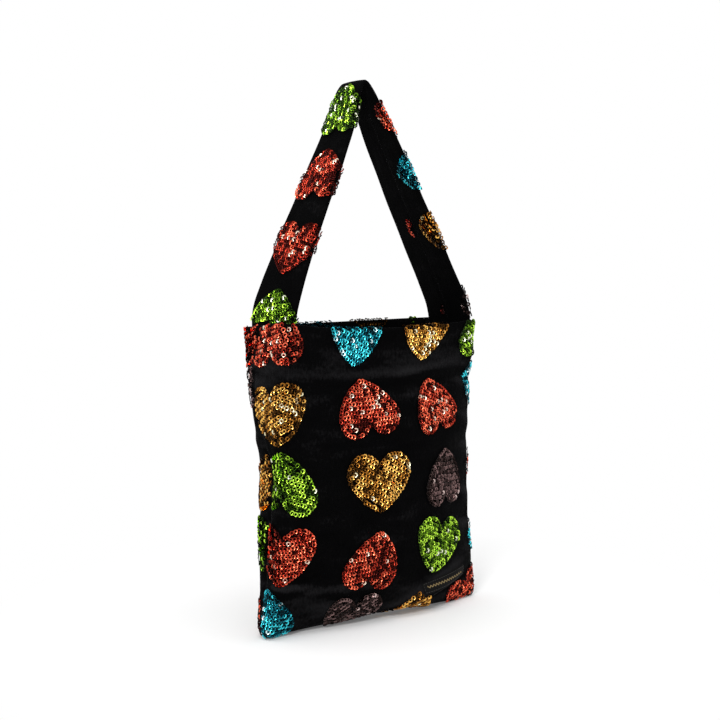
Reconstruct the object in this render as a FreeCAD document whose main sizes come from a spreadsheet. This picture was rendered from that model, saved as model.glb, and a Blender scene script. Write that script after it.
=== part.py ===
"""Velvet shoulder bag with sequin hearts and one wide strap, as a parametric document in millimetres.

The frame: X runs across the bag, Y from its front (-Y) to its back, Z up, and the base lies on Z = 0.
Each cloth layer is cut from lofted forms that share one set of sections and differ only by an inset.
"""
import FreeCAD
import Part
import Sketcher
import math
import os

from FreeCAD import Vector

# Driving sizes: name, value, meaning. Each becomes one named cell of the sheet.
DRIVING_SIZES = [
    ("base_height", 0, "the bag's sections, from the base up to the mouth"),
    ("base_half_width", 121, "half width at the base, the bag's widest place"),
    ("base_half_depth", 15, "half depth at the base"),
    ("base_corner", 5, "corner radius of the section at the base"),
    ("base_side", 3, "half length of the flat side at the base"),
    ("low_height", 35, "where the bag swells out above its base"),
    ("low_draw_in", 2, "how far each side is drawn in there, from the base"),
    ("low_half_depth", 27, "half depth there"),
    ("low_corner", 9, "corner radius there"),
    ("low_side", 5, "half length of the flat side there"),
    ("belly_height", 100, "the fullest part"),
    ("belly_draw_in", 4, "how far each side is drawn in there"),
    ("belly_half_depth", 32, "half depth there"),
    ("belly_corner", 12, "corner radius there"),
    ("belly_side", 9, "half length of the flat side there"),
    ("upper_drop", 85, "below the mouth, where the strap starts to spread the sides"),
    ("upper_draw_in", 7, "how far each side is drawn in there"),
    ("upper_half_depth", 33, "half depth there"),
    ("upper_corner", 10, "corner radius there"),
    ("upper_side", 17, "half length of the flat side there"),
    ("mouth_height", 275, "height of the mouth's edge"),
    ("mouth_draw_in", 13, "how far each side is drawn in at the mouth"),
    ("mouth_half_depth", 35, "half depth at the mouth"),
    ("mouth_corner", 5, "corner radius at the mouth"),
    ("mouth_side", 28, "half length of the flat side at the mouth, where the strap is sewn"),
    ("velvet_thickness", 1.2, "outer cloth with its pile"),
    ("interlining_thickness", 1.0, "stiffening layer"),
    ("lining_thickness", 0.6, "satin lining"),
    ("facing_thickness", 1.2, "velvet turned in at the mouth"),
    ("layer_gap", 0.15, "air between two cloth layers"),
    ("facing_depth", 42, "how far the facing reaches down from the mouth"),
    ("lip_height", 1.4, "seam lip that joins the facing to the panel"),
    ("allowance_width", 10, "seam allowance on each side of a seam"),
    ("sequin_thickness", 0.8, "layer of overlapping sequins"),
    ("sequin_gap", 0.1, "pile under the sequins"),
    ("heart_width", 68, "sequin heart, lobe to lobe"),
    ("heart_shoulder", 7, "height of the widest points above the heart's middle"),
    ("heart_notch", 13, "height of the notch above the heart's middle"),
    ("heart_tip", 28, "depth of the tip below the heart's middle"),
    ("heart_lobe_radius", 17.6, "lobe arcs"),
    ("heart_flank_radius", 62, "arcs from the widest points to the tip"),
    ("heart_row_pitch", 64.5, "between rows of hearts"),
    ("heart_column_pitch", 79, "between columns of hearts"),
    ("heart_edge_inset", 18, "from the left end of the base to the left column"),
    ("heart_top_inset", 21, "from the mouth down to the top row"),
    ("label_length", 56, "woven label"),
    ("label_height", 11, "woven label"),
    ("label_edge_inset", 19, "from the right end of the base to the label"),
    ("label_bottom", 19, "the label's lower edge"),
    ("stitch_width", 1.2, "thread of the label's and the strap's stitching"),
    ("strap_width", 56, "strap where it leaves the mouth"),
    ("strap_top_width", 37, "strap where it is pinched at its top"),
    ("strap_thickness", 4, "folded velvet strap with its core"),
    ("strap_rise", 225, "from the mouth to the top of the strap"),
    ("strap_top_shift", 12.5, "how far the top of the strap hangs over to the left"),
    ("strap_bend_radius", 12, "middle of the strap's thickness at its top bend"),
    ("strap_heart_start", 22, "from the foot of the sleeve to the middle of its lowest heart"),
    ("strap_heart_pitch", 61, "between hearts along an arm"),
    ("strap_heart_turn", 16, "how far the right arm's hearts lie towards its front edge"),
    ("root_height", 57, "soft lower end of the strap, above the mouth"),
    ("core_width", 30, "webbing inside the strap"),
    ("core_thickness", 1.8, "webbing inside the strap"),
    ("core_clearance", 0.2, "between the webbing and the sleeve"),
    ("tab_depth", 36, "sewn end of the strap, below the mouth"),
    ("tab_side_clearance", 5.5, "from the ends of the mouth's flat side to the sewn end's edges"),
    ("box_stitch_inset", 5, "from the tab's edge to its box stitch"),
]
LEVELS = ("base", "low", "belly", "upper", "mouth")

# Heart colours by row, from the mouth down, and by column from the left. Lower case stands upright.
FRONT_HEARTS = [
    ["RED", "turquoise", "gold", "GREEN"],
    ["gold", "RED", "RED", "turquoise"],
    ["GREEN", "gold", "PLUM", "red"],
    ["red", "RED", "green", "TURQUOISE"],
    ["TURQUOISE", "plum", "GOLD", "red"],
]
BACK_HEARTS = [
    ["green", "GOLD", "turquoise", "RED"],
    ["RED", "turquoise", "GREEN", "plum"],
    ["gold", "RED", "red", "GOLD"],
    ["TURQUOISE", "plum", "GOLD", "green"],
    ["turquoise", "PLUM", "green", "RED"],
]
# Hearts along each arm of the strap, from the lowest on its sleeve up.
STRAP_HEARTS = {"left": ["red", "RED"], "right": ["gold", "TURQUOISE"]}
COLOURS = ("red", "gold", "green", "turquoise", "plum")

doc = FreeCAD.newDocument("sequin_heart_bag")
sheet = doc.addObject("Spreadsheet::Sheet", "Sizes")
for row, (name, value, meaning) in enumerate(DRIVING_SIZES, start=1):
    sheet.set(f"A{row}", name)
    sheet.set(f"B{row}", str(value))
    sheet.set(f"C{row}", meaning)
    sheet.setAlias(f"B{row}", name)
doc.recompute()

nodes = []


def size(name):
    """The number in the sheet's cell of that name."""
    return float(getattr(sheet, name))


class Amount:
    """A number together with the expression that binds it to the sheet."""

    def __init__(self, value, expression):
        self.value = value
        self.expression = expression

    def __add__(self, other):
        return Amount(self.value + other.value, f"{self.expression} + {other.expression}")

    def __sub__(self, other):
        return Amount(self.value - other.value, f"{self.expression} - ({other.expression})")

    def times(self, factor):
        return Amount(self.value * factor, f"{factor} * ({self.expression})")


def cell(name):
    return Amount(size(name), f"Sizes.{name}")


def number(value):
    return Amount(value, str(value))


def node(shape_object, label):
    """Marks an object as one sub-part, whose label names its file."""
    shape_object.Label = label
    nodes.append(shape_object)
    return shape_object


def origin_plane(body, role):
    return next(item for item in body.Origin.OriginFeatures if item.Role == role)


def new_sketch(body, name, role, offset=None):
    sketch = body.newObject("Sketcher::SketchObject", name)
    sketch.AttachmentSupport = [(origin_plane(body, role), "")]
    sketch.MapMode = "FlatFace"
    if offset is not None:
        sketch.setExpression("AttachmentOffset.Base.z", offset.expression)
    return sketch


def bind(sketch, amount, kind, *places):
    """Adds a dimension to the sketch and ties it to the sheet."""
    index = sketch.addConstraint(Sketcher.Constraint(kind, *places, amount.value))
    sketch.setExpression(f"Constraints[{index}]", amount.expression)


def relate(sketch, kind, *places):
    sketch.addConstraint(Sketcher.Constraint(kind, *places))


def close_chain(sketch, count, smooth=()):
    """Joins each edge's end to the next edge's start, tangent where the corner is named smooth."""
    for edge in range(count):
        kind = "Tangent" if edge in smooth else "Coincident"
        relate(sketch, kind, edge, 2, (edge + 1) % count, 1)


def add_edges(sketch, edges):
    for edge in edges:
        sketch.addGeometry(edge)


def polygon(sketch, corners):
    """A closed outline whose corners are pairs of amounts, each tied to the sheet."""
    points = [Vector(across.value, up.value, 0) for across, up in corners]
    count = len(points)
    first = sketch.GeometryCount
    for index, point in enumerate(points):
        sketch.addGeometry(Part.LineSegment(point, points[(index + 1) % count]))
    for index, (across, up) in enumerate(corners):
        edge = first + index
        relate(sketch, "Coincident", first + (index - 1) % count, 2, edge, 1)
        place_point(sketch, edge, 1, across, up)


def place_point(sketch, edge, end, across, up):
    """Ties one point of a sketch to its distances from the sketch's origin."""
    for kind, amount in (("DistanceX", across), ("DistanceY", up)):
        if amount.value < 0:
            bind(sketch, amount.times(-1), kind, edge, end, -1, 1)
        else:
            bind(sketch, amount, kind, -1, 1, edge, end)


def new_body(name):
    body = doc.addObject("PartDesign::Body", name)
    body.AllowCompound = True
    return body


def symmetric_pad(body, sketch, name, length):
    pad = body.newObject("PartDesign::Pad", name)
    pad.Profile = sketch
    pad.SideType = "Symmetric"
    pad.setExpression("Length", length.expression)
    return pad


def symmetric_pocket(body, sketch, name, length=None):
    pocket = body.newObject("PartDesign::Pocket", name)
    pocket.Profile = sketch
    pocket.SideType = "Symmetric"
    if length is None:
        pocket.Type = "ThroughAll"
    else:
        pocket.setExpression("Length", length.expression)
    return pocket


def box(name, low, high):
    """A box between two corners, each given by three amounts."""
    solid = doc.addObject("Part::Box", name)
    for axis, side, start, end in zip("xyz", ("Length", "Width", "Height"), low, high):
        solid.setExpression(f"Placement.Base.{axis}", start.expression)
        solid.setExpression(side, (end - start).expression)
    return solid


def boolean(kind, name, base, tool):
    result = doc.addObject(f"Part::{kind}", name)
    result.Base = base
    result.Tool = tool
    return result


def mirrored(name, source, normal):
    copy = doc.addObject("Part::Mirroring", name)
    copy.Source = source
    copy.Normal = normal
    return copy


# Bag forms

def height_of(level):
    """A level's height, which is counted from the base, or down from the mouth for the upper one."""
    if level == "upper":
        return cell("mouth_height") - cell("upper_drop")
    return cell(f"{level}_height")


def half_width_at(level):
    """Half the bag's width at a level, which is drawn in from the base."""
    if level == "base":
        return cell("base_half_width")
    return cell("base_half_width") - cell(f"{level}_draw_in")


def half_section(body, level, inset):
    """The front half of the bag's outline at one level, moved inward by the inset."""
    sketch = new_sketch(body, f"{body.Name}_{level}", "XY_Plane", height_of(level))
    half_width = half_width_at(level) - inset
    half_depth = cell(f"{level}_half_depth") - inset
    corner = cell(f"{level}_corner") - inset
    side = cell(f"{level}_side")
    across = half_width.value - corner.value
    rise = half_depth.value - side.value
    front_radius = (across ** 2 + rise ** 2 - corner.value ** 2) / (2 * (rise - corner.value))
    radius_text = (f"((({half_width.expression}) - ({corner.expression}))^2"
                   f" + (({half_depth.expression}) - {side.expression})^2 - ({corner.expression})^2)"
                   f" / (2 * (({half_depth.expression}) - {side.expression} - ({corner.expression})))")
    corner_centre = Vector(across, -side.value, 0)
    front_centre = Vector(0, front_radius - half_depth.value, 0)
    outward = (corner_centre - front_centre).normalize()
    meeting = corner_centre + outward * corner.value
    corner_middle = corner_centre + (outward + Vector(1, 0, 0)).normalize() * corner.value
    seam_right = Vector(half_width.value, 0, 0)
    side_end = Vector(half_width.value, -side.value, 0)

    def left(point):
        return Vector(-point.x, point.y, 0)

    add_edges(sketch, [
        Part.LineSegment(seam_right, left(seam_right)),
        Part.LineSegment(left(seam_right), left(side_end)),
        Part.Arc(left(side_end), left(corner_middle), left(meeting)),
        Part.Arc(left(meeting), Vector(0, -half_depth.value, 0), meeting),
        Part.Arc(meeting, corner_middle, side_end),
        Part.LineSegment(side_end, seam_right),
    ])
    close_chain(sketch, 6, smooth=(1, 2, 3, 4))
    relate(sketch, "Vertical", 1)
    relate(sketch, "Vertical", 5)
    relate(sketch, "Equal", 1, 5)
    relate(sketch, "Equal", 2, 4)
    place_point(sketch, 0, 1, half_width, number(0))
    place_point(sketch, 1, 1, half_width.times(-1), number(0))
    bind(sketch, side, "DistanceY", 5, 1, 5, 2)
    bind(sketch, corner, "Radius", 2)
    bind(sketch, Amount(front_radius, radius_text), "Radius", 3)
    return sketch


def bag_form(name, inset):
    """The front half of the bag as one solid, moved inward by the inset and cut off above its base."""
    body = new_body(f"{name}_form")
    sections = [half_section(body, level, inset) for level in LEVELS]
    loft = body.newObject("PartDesign::AdditiveLoft", f"{name}_loft")
    loft.Profile = sections[0]
    loft.Sections = sections[1:]
    if inset.value <= 0:
        return body
    room = cell("base_half_width")
    lower = box(f"{name}_floor_cut", (room.times(-1), room.times(-1), inset),
                (room, room, cell("mouth_height")))
    return boolean("Common", f"{name}_trimmed", body, lower)


velvet_outer = number(0)
velvet_inner = cell("velvet_thickness")
middle_outer = velvet_inner + cell("layer_gap")
middle_inner = middle_outer + cell("interlining_thickness")
inside_outer = middle_inner + cell("layer_gap")
lining_inner = inside_outer + cell("lining_thickness")
facing_inner = inside_outer + cell("facing_thickness")
sequin_inner = cell("sequin_gap").times(-1)
sequin_outer = (cell("sequin_gap") + cell("sequin_thickness")).times(-1)

room = cell("base_half_width") + cell("mouth_half_depth")
mouth = cell("mouth_height")
lip_bottom = mouth - cell("lip_height")

outer_form = bag_form("velvet_outer", velvet_outer)
inner_form = bag_form("velvet_inner", velvet_inner)
middle_outer_form = bag_form("middle_outer", middle_outer)
middle_inner_form = bag_form("middle_inner", middle_inner)
inside_form = bag_form("inside_outer", inside_outer)
lining_form = bag_form("lining_inner", lining_inner)
facing_form = bag_form("facing_inner", facing_inner)


def slab(name, bottom, top, front=None):
    """A box over the whole bag between two heights, reaching forward from the seam plane."""
    reach = room if front is None else front
    return box(name, (room.times(-1), reach.times(-1), bottom), (room, number(0), top))


def both_sides(front_object, front_label, back_label):
    node(front_object, front_label)
    node(mirrored(back_label, front_object, Vector(0, 1, 0)), back_label)


# Velvet panels, interlining and seam allowances

def make_panels():
    both_sides(boolean("Cut", "front_panel", outer_form, inner_form), "front_panel", "back_panel")


def make_middle_layer():
    layer = boolean("Cut", "middle_layer", middle_outer_form, middle_inner_form)
    allowance = cell("allowance_width")
    layer_top = lip_bottom - cell("layer_gap")
    panel_space = box("interlining_space",
                      (room.times(-1), room.times(-1), number(0)),
                      (room, (allowance + cell("layer_gap")).times(-1), layer_top))
    both_sides(boolean("Common", "front_interlining", layer, panel_space),
               "front_interlining", "back_interlining")
    side_space = slab("allowance_space", middle_inner + cell("layer_gap"), layer_top, allowance)
    both_sides(boolean("Common", "front_side_allowances", layer, side_space),
               "front_side_allowances", "back_side_allowances")
    tape_space = slab("tape_space", number(0), middle_inner, allowance)
    half_tape = boolean("Common", "front_half_tape", layer, tape_space)
    back_half_tape = mirrored("back_half_tape", half_tape, Vector(0, 1, 0))
    tape = doc.addObject("Part::MultiFuse", "bottom_seam_tape")
    tape.Shapes = [half_tape, back_half_tape]
    tape.Refine = True
    node(tape, "bottom_seam_tape")


# Lining and facing

def make_inside():
    facing_bottom = mouth - cell("facing_depth")
    layer = boolean("Cut", "lining_layer", inside_form, lining_form)
    lining_space = slab("lining_space", number(0), facing_bottom - cell("layer_gap"))
    both_sides(boolean("Common", "front_lining", layer, lining_space), "front_lining", "back_lining")
    strip = boolean("Common", "facing_strip", inside_form, slab("facing_space", facing_bottom, mouth))
    lip = boolean("Common", "facing_lip", middle_outer_form, slab("lip_space", lip_bottom, mouth))
    blank = boolean("Fuse", "facing_blank", strip, lip)
    both_sides(boolean("Cut", "front_facing", blank, facing_form), "front_facing", "back_facing")


# Sequin hearts and the label

def make_heart_stencil(depth):
    """One upright heart, standing on the seam plane and reaching forward by the depth."""
    body = new_body("heart_stencil")
    sketch = new_sketch(body, "heart_outline", "XZ_Plane")
    half = size("heart_width") / 2
    notch = Vector(0, size("heart_notch"), 0)
    tip = Vector(0, -size("heart_tip"), 0)
    right = Vector(half, size("heart_shoulder"), 0)
    left = Vector(-half, size("heart_shoulder"), 0)

    def bulge(start, end, radius):
        """The middle of an arc that bulges to the right of its chord."""
        chord = end - start
        sag = radius - math.sqrt(radius ** 2 - (chord.Length / 2) ** 2)
        return (start + end) * 0.5 + Vector(chord.y, -chord.x, 0).normalize() * sag

    stops = [notch, left, tip, right]
    radii = ["heart_lobe_radius", "heart_flank_radius", "heart_flank_radius", "heart_lobe_radius"]
    for index, radius in enumerate(radii):
        start = stops[index]
        end = stops[(index + 1) % 4]
        sketch.addGeometry(Part.Arc(start, bulge(start, end, size(radius)), end))
    close_chain(sketch, 4)
    half_width = cell("heart_width").times(0.5)
    place_point(sketch, 0, 1, number(0), cell("heart_notch"))
    place_point(sketch, 1, 1, half_width.times(-1), cell("heart_shoulder"))
    place_point(sketch, 2, 1, number(0), cell("heart_tip").times(-1))
    place_point(sketch, 3, 1, half_width, cell("heart_shoulder"))
    for index, radius in enumerate(radii):
        bind(sketch, cell(radius), "Radius", index)
    pad = body.newObject("PartDesign::Pad", "heart_block")
    pad.Profile = sketch
    pad.setExpression("Length", depth.expression)
    return body


def placed_hearts(name, stencil, places):
    """Copies of the heart at places given as (position, turn in its own plane, turn about Z)."""
    copies = []
    for position, turn, heading in places:
        spin = FreeCAD.Rotation(Vector(0, 1, 0), turn)
        face = FreeCAD.Rotation(Vector(0, 0, 1), heading)
        copy = stencil.Shape.copy()
        copy.Placement = FreeCAD.Placement(position, face.multiply(spin))
        copies.append(copy)
    group = doc.addObject("Part::Feature", name)
    group.Shape = Part.makeCompound(copies)
    return group


def panel_places(layout, colour, heading):
    """Where one colour's hearts lie on a panel: capital letters in the layout hang upside down."""
    left_column = size("heart_edge_inset") - size("base_half_width")
    top_row = size("mouth_height") - size("heart_top_inset")
    places = []
    for row, names in enumerate(layout):
        for column, name in enumerate(names):
            if name.lower() != colour:
                continue
            across = left_column + column * size("heart_column_pitch")
            up = top_row - row * size("heart_row_pitch")
            if heading:
                across = -across
            places.append((Vector(across, 0, up), 180 if name.isupper() else 0, heading))
    return places


def make_panel_hearts(stencil):
    outside = bag_form("sequin_outer", sequin_outer)
    inside = bag_form("sequin_inner", sequin_inner)
    skin = boolean("Cut", "sequin_skin", outside, inside)
    layer = boolean("Cut", "sequin_layer", skin, outer_form)
    back_layer = mirrored("back_sequin_layer", layer, Vector(0, 1, 0))

    gap = cell("layer_gap")
    end = cell("base_half_width") - cell("label_edge_inset")
    start = end - cell("label_length")
    bottom = cell("label_bottom")
    top = bottom + cell("label_height")
    thread = cell("stitch_width")
    clear = box("label_clearance",
                (start - thread - gap.times(2), room.times(-1), bottom - gap),
                (end + thread + gap.times(2), number(0), top + gap))
    front_layer = boolean("Cut", "front_sequin_layer", layer, clear)
    label_space = box("label_space", (start, room.times(-1), bottom), (end, number(0), top))
    node(boolean("Common", "woven_label", layer, label_space), "woven_label")
    left_thread = box("left_thread_space", (start - gap - thread, room.times(-1), bottom),
                      (start - gap, number(0), top))
    right_thread = box("right_thread_space", (end + gap, room.times(-1), bottom),
                       (end + gap + thread, number(0), top))
    threads = boolean("Fuse", "thread_spaces", left_thread, right_thread)
    node(boolean("Common", "label_stitching", layer, threads), "label_stitching")

    doc.recompute()
    for panel, cloth, layout, heading in (("front", front_layer, FRONT_HEARTS, 0),
                                          ("back", back_layer, BACK_HEARTS, 180)):
        for colour in COLOURS:
            label = f"{panel}_{colour}_hearts"
            places = panel_places(layout, colour, heading)
            stencils = placed_hearts(f"{label}_stencils", stencil, places)
            node(boolean("Common", label, cloth, stencils), label)


# Strap

half_strap = cell("strap_thickness").times(0.5)
strap_top = mouth + cell("strap_rise")
root_middle = half_width_at("mouth") - facing_inner - cell("layer_gap") - half_strap
bend_centre = strap_top - half_strap - cell("strap_bend_radius")


class Arm:
    """One arm of the strap: which way it lies, and how far it leans in so that it runs into the top bend."""

    def __init__(self, side):
        self.hand = 1 if side == "right" else -1
        reach = root_middle + cell("strap_top_shift").times(self.hand)
        rise = bend_centre - mouth
        length = math.hypot(reach.value, rise.value)
        self.angle = math.atan(reach.value / rise.value) - math.asin(size("strap_bend_radius") / length)
        across, up = reach.expression, rise.expression
        self.lean = (f"(atan(({across}) / ({up}))"
                     f" - asin(Sizes.strap_bend_radius / sqrt(({across})^2 + ({up})^2)))")
        self.outward = Vector(self.hand * math.cos(self.angle), math.sin(self.angle), 0)

    def place(self, rise, offset, back_off):
        """A point of the arm: up from the mouth along X and Z, then moved outward and back along the arm."""
        sine, cosine = math.sin(self.angle), math.cos(self.angle)
        across = (root_middle.value - rise.value * math.tan(self.angle)
                  + offset.value * cosine + back_off.value * sine)
        across_text = (f"({root_middle.expression}) - ({rise.expression}) * tan({self.lean})"
                       f" + ({offset.expression}) * cos({self.lean})"
                       f" + ({back_off.expression}) * sin({self.lean})")
        up = mouth.value + rise.value + offset.value * sine - back_off.value * cosine
        up_text = (f"{mouth.expression} + {rise.expression} + ({offset.expression}) * sin({self.lean})"
                   f" - ({back_off.expression}) * cos({self.lean})")
        return Amount(across, across_text).times(self.hand), Amount(up, up_text)


def arch_sketch(body, name, inner, outer):
    """The strap seen from the front, between two offsets from its middle line."""
    sketch = new_sketch(body, name, "XZ_Plane")
    rise = cell("root_height")
    shift = cell("strap_top_shift").times(-1)
    centre = Vector(shift.value, bend_centre.value, 0)
    bend = size("strap_bend_radius")
    right, left = Arm("right"), Arm("left")

    def point(place):
        return Vector(place[0].value, place[1].value, 0)

    right_foot = right.place(rise, outer, number(0))
    left_foot = left.place(rise, outer, number(0))
    right_top_out = centre + right.outward * (bend + outer.value)
    left_top_out = centre + left.outward * (bend + outer.value)
    right_top_in = centre + right.outward * (bend + inner.value)
    left_top_in = centre + left.outward * (bend + inner.value)
    right_foot_in = point(right.place(rise, inner, number(0)))
    left_foot_in = point(left.place(rise, inner, number(0)))
    crown_out = centre + Vector(0, bend + outer.value, 0)
    crown_in = centre + Vector(0, bend + inner.value, 0)
    add_edges(sketch, [
        Part.LineSegment(point(right_foot), right_top_out),
        Part.Arc(right_top_out, crown_out, left_top_out),
        Part.LineSegment(left_top_out, point(left_foot)),
        Part.LineSegment(point(left_foot), left_foot_in),
        Part.LineSegment(left_foot_in, left_top_in),
        Part.Arc(left_top_in, crown_in, right_top_in),
        Part.LineSegment(right_top_in, right_foot_in),
        Part.LineSegment(right_foot_in, point(right_foot)),
    ])
    ends = [(1, 2), (1, 2), (1, 2), (1, 2), (1, 2), (2, 1), (1, 2), (1, 2)]
    for edge in range(8):
        after = (edge + 1) % 8
        kind = "Tangent" if edge in (0, 1, 4, 5) else "Coincident"
        relate(sketch, kind, edge, ends[edge][1], after, ends[after][0])
    relate(sketch, "Coincident", 1, 3, 5, 3)
    place_point(sketch, 1, 3, shift, bend_centre)
    bind(sketch, cell("strap_bend_radius") + outer, "Radius", 1)
    bind(sketch, cell("strap_bend_radius") + inner, "Radius", 5)
    relate(sketch, "Parallel", 0, 6)
    relate(sketch, "Parallel", 2, 4)
    relate(sketch, "Perpendicular", 7, 0)
    relate(sketch, "Perpendicular", 3, 2)
    place_point(sketch, 0, 1, *right_foot)
    place_point(sketch, 2, 2, *left_foot)
    return sketch


def taper(body, name):
    """Cuts both edges of the strap, which narrows from the mouth to its pinched top."""
    top = strap_top + cell("strap_thickness")
    waste = cell("strap_width")
    half_low = cell("strap_width").times(0.5)
    half_high = cell("strap_top_width").times(0.5)
    for side in (1, -1):
        sketch = new_sketch(body, f"{name}_taper_{'back' if side > 0 else 'front'}", "YZ_Plane")
        polygon(sketch, [
            (half_low.times(side), mouth),
            (waste.times(side), mouth),
            (waste.times(side), top),
            (half_high.times(side), top),
        ])
        symmetric_pocket(body, sketch, f"{name}_taper_cut_{side + 1}")


def make_strap():
    half_core = cell("core_thickness").times(0.5)
    half_cavity = half_core + cell("core_clearance")

    sleeve = new_body("strap_sleeve")
    arch = arch_sketch(sleeve, "sleeve_arch", half_strap.times(-1), half_strap)
    symmetric_pad(sleeve, arch, "sleeve_band", cell("strap_width"))
    taper(sleeve, "sleeve")
    hollow = arch_sketch(sleeve, "sleeve_hollow", half_cavity.times(-1), half_cavity)
    symmetric_pocket(sleeve, hollow, "sleeve_cavity", cell("core_width") + cell("core_clearance").times(2))
    node(sleeve, "strap_sleeve")

    core = new_body("strap_core")
    core_arch = arch_sketch(core, "core_arch", half_core.times(-1), half_core)
    symmetric_pad(core, core_arch, "core_band", cell("core_width"))
    node(core, "strap_core")

    layer = new_body("strap_sequin_layer")
    layer_start = half_strap + cell("sequin_gap")
    layer_arch = arch_sketch(layer, "layer_arch", layer_start, layer_start + cell("sequin_thickness"))
    symmetric_pad(layer, layer_arch, "layer_band", cell("strap_width"))
    taper(layer, "layer")
    return layer


def make_strap_hearts(stencil, layer):
    """Hearts up each arm from the sleeve's foot. The right arm's lie round its front edge."""
    foot = (mouth + cell("root_height") + cell("strap_heart_start")).value
    middle = -size("strap_top_shift")
    for colour in COLOURS:
        places = []
        for arm, names in STRAP_HEARTS.items():
            for index, name in enumerate(names):
                if name.lower() != colour:
                    continue
                height = foot + index * size("strap_heart_pitch")
                heading = -90 if arm == "left" else 90
                forward = 0 if arm == "left" else size("strap_heart_turn")
                turn = 180 if name.isupper() else 0
                places.append((Vector(middle, -forward, height), turn, heading))
        if places:
            label = f"strap_{colour}_hearts"
            stencils = placed_hearts(f"{label}_stencils", stencil, places)
            node(boolean("Common", label, layer, stencils), label)


def make_root(side):
    """The soft end of one arm, between the mouth and the strap sleeve."""
    arm = Arm(side)
    body = new_body(f"{side}_root")
    sketch = new_sketch(body, f"{side}_root_outline", "XZ_Plane")
    gap = cell("layer_gap")
    slant = Amount(half_strap.value / math.cos(arm.angle), f"({half_strap.expression}) / cos({arm.lean})")
    corners = []
    for sign in (1, -1):
        low = root_middle.value - gap.value * math.tan(arm.angle) + sign * slant.value
        low_text = (f"({root_middle.expression}) - ({gap.expression}) * tan({arm.lean})"
                    f" + {sign} * {slant.expression}")
        corners.append((Amount(low, low_text).times(arm.hand), mouth + gap))
    for sign in (-1, 1):
        corners.append(arm.place(cell("root_height"), half_strap.times(sign), gap))
    polygon(sketch, corners)
    symmetric_pad(body, sketch, f"{side}_root_band", cell("strap_width"))
    taper(body, f"{side}_root")
    node(body, f"{side}_strap_root")


def make_tab():
    """The sewn end of the right arm, flat on the facing inside the mouth, and its mirror image."""
    slope_text = "(Sizes.mouth_draw_in - Sizes.upper_draw_in) / Sizes.upper_drop"
    slope = (size("mouth_draw_in") - size("upper_draw_in")) / size("upper_drop")

    def plate(name, inner, outer, top, bottom, width):
        """A leaning plate between two offsets from the tab's middle and two depths below the mouth."""
        body = new_body(name)
        sketch = new_sketch(body, f"{name}_outline", "XZ_Plane")
        corners = []
        for offset, depth in ((inner, top), (outer, top), (outer, bottom), (inner, bottom)):
            across = root_middle.value + offset.value + slope * depth.value
            text = f"({root_middle.expression}) + ({offset.expression}) + {slope_text} * ({depth.expression})"
            corners.append((Amount(across, text), mouth - depth))
        polygon(sketch, corners)
        symmetric_pad(body, sketch, f"{name}_plate", width)
        return body

    tab_width = (cell("mouth_side") - cell("tab_side_clearance")).times(2)
    tab = plate("right_tab", half_strap.times(-1), half_strap, number(0), cell("tab_depth"), tab_width)
    node(tab, "right_strap_tab")
    node(mirrored("left_tab", tab, Vector(1, 0, 0)), "left_strap_tab")

    inset = cell("box_stitch_inset")
    thread = cell("stitch_width")
    face = (half_strap + cell("layer_gap")).times(-1)
    top = inset
    bottom = cell("tab_depth") - inset
    width = tab_width - inset.times(2)
    stitching = plate("right_stitching", face - thread.times(0.5), face, top, bottom, width)
    window = new_sketch(stitching, "stitching_window", "YZ_Plane")
    half_window = width.times(0.5) - thread
    window_top = mouth - top - thread
    window_bottom = mouth - bottom + thread
    polygon(window, [
        (half_window.times(-1), window_bottom),
        (half_window, window_bottom),
        (half_window, window_top),
        (half_window.times(-1), window_top),
    ])
    symmetric_pocket(stitching, window, "stitching_ring")
    node(stitching, "right_strap_stitching")
    node(mirrored("left_stitching", stitching, Vector(1, 0, 0)), "left_strap_stitching")


def check_and_write():
    doc.recompute()
    for item in doc.Objects:
        if any(word in item.State for word in ("Invalid", "Error")):
            raise RuntimeError(f"{item.Label} did not compute")
    os.makedirs("parts", exist_ok=True)
    for item in nodes:
        if item.Shape.isNull() or not item.Shape.isValid() or not item.Shape.Solids:
            raise RuntimeError(f"{item.Label} has no valid solid")
        item.Shape.exportStep(f"parts/{item.Label}.step")


make_panels()
make_middle_layer()
make_inside()
heart_stencil = make_heart_stencil(room)
make_panel_hearts(heart_stencil)
strap_layer = make_strap()
doc.recompute()
make_strap_hearts(heart_stencil, strap_layer)
for side in ("left", "right"):
    make_root(side)
make_tab()
check_and_write()
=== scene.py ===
"""A sequin heart shoulder bag in velvet: cloth, sequins, strap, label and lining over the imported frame."""

import math
from collections import namedtuple

import bpy
import numpy as np
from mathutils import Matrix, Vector

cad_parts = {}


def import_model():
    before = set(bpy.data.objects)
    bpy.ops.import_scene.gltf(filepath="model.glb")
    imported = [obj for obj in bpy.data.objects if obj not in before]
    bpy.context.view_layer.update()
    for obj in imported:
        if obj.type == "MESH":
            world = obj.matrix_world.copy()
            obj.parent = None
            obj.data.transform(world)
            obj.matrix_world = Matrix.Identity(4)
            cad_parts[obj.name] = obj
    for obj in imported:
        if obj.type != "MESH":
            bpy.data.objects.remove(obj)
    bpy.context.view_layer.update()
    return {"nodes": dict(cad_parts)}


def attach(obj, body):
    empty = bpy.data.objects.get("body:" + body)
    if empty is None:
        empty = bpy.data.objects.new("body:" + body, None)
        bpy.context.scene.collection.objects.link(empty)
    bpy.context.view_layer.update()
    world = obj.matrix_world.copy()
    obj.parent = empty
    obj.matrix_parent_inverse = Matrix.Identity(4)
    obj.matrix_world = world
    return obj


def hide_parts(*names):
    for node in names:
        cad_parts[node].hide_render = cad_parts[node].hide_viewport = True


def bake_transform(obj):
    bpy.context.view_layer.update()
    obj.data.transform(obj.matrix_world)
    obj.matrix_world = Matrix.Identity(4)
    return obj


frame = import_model()
scene = bpy.context.scene

MM = 0.001

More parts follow.
